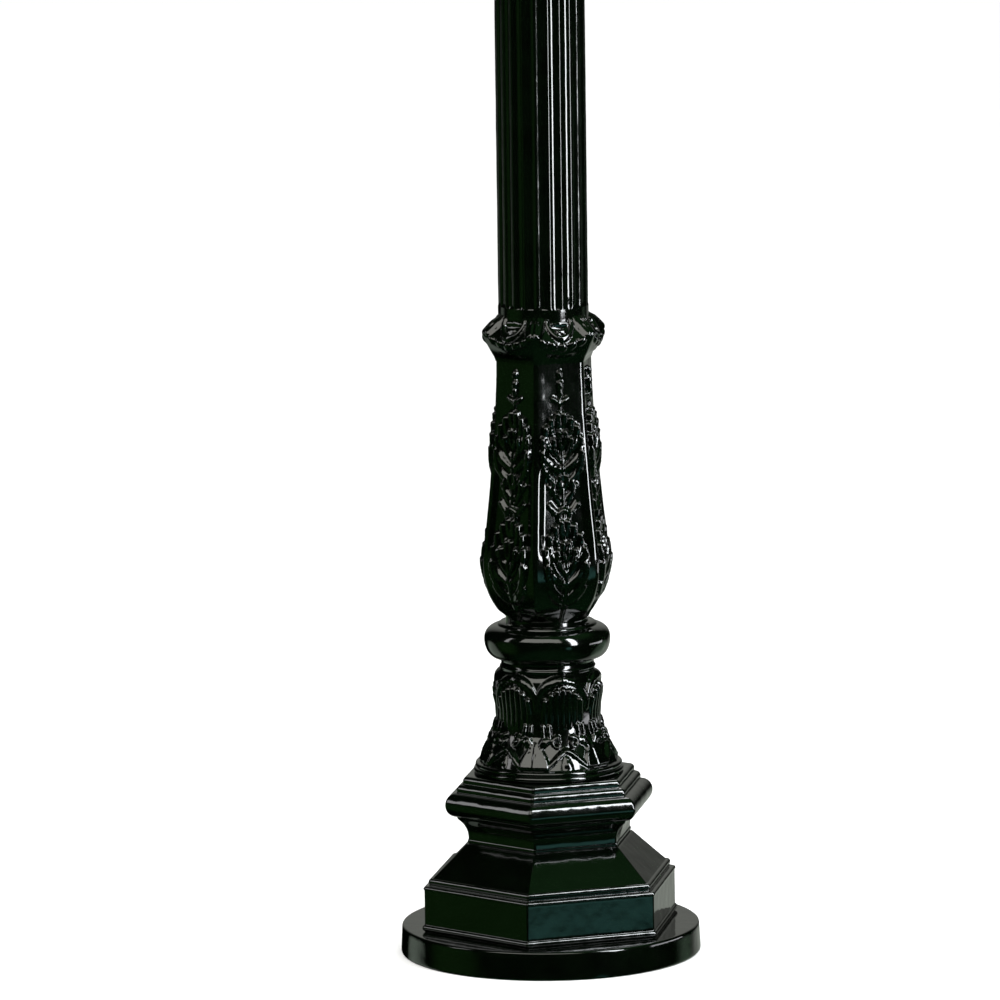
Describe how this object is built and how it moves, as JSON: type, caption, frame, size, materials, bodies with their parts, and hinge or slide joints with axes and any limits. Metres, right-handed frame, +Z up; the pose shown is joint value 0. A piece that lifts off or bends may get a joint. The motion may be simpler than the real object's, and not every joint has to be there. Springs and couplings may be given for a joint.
{
  "type": "ornamental post base",
  "caption": "Ornamental cast post base: round foot plate, six-sided plinth and cornice, leaf neck, collar, acanthus vase and capital, carrying the lower end of a fluted column.",
  "frame": {"origin": "centre of the foot plate's underside, on the ground", "axes": "+Z up the column, -Y out of one flat of the six-sided plinth, X through two of its corners"},
  "size_m": [0.3, 0.3, 1],
  "materials": {
    "black_paint": "high gloss black enamel with a faint green cast, over a casting",
    "zinc_steel": "bright zinc plated",
    "galvanised_steel": "dull galvanised",
    "malleable_iron": "as cast, black",
    "nylon": "natural nylon",
    "black_rubber": "matt black",
    "brass": "plain brass"
  },
  "bodies": {
    "root": {"base_plate": "black_paint", "plinth": "black_paint", "cornice": "black_paint", "bell_neck": "black_paint", "collar": "black_paint", "vase": "black_paint", "crown": "black_paint", "column": "black_paint", "core_tube": "galvanised_steel", "floor_flange": "malleable_iron", "clamp_plate": "galvanised_steel", "ring_nut": "zinc_steel", "tube_bush": "black_rubber", "lower_centring_ring": "nylon", "upper_centring_ring": "nylon", "shaft_sleeve": "galvanised_steel", "shaft_seal": "black_rubber", "plinth_screws": "zinc_steel", "plinth_washers": "zinc_steel", "cornice_screws": "zinc_steel", "cornice_washers": "zinc_steel", "bell_screws": "zinc_steel", "bell_washers": "zinc_steel", "flange_screws": "zinc_steel", "flange_washers": "zinc_steel", "locating_pins": "zinc_steel", "earth_stud": "brass", "earth_washers": "brass", "earth_nuts": "brass"}
  },
  "joints": []
}
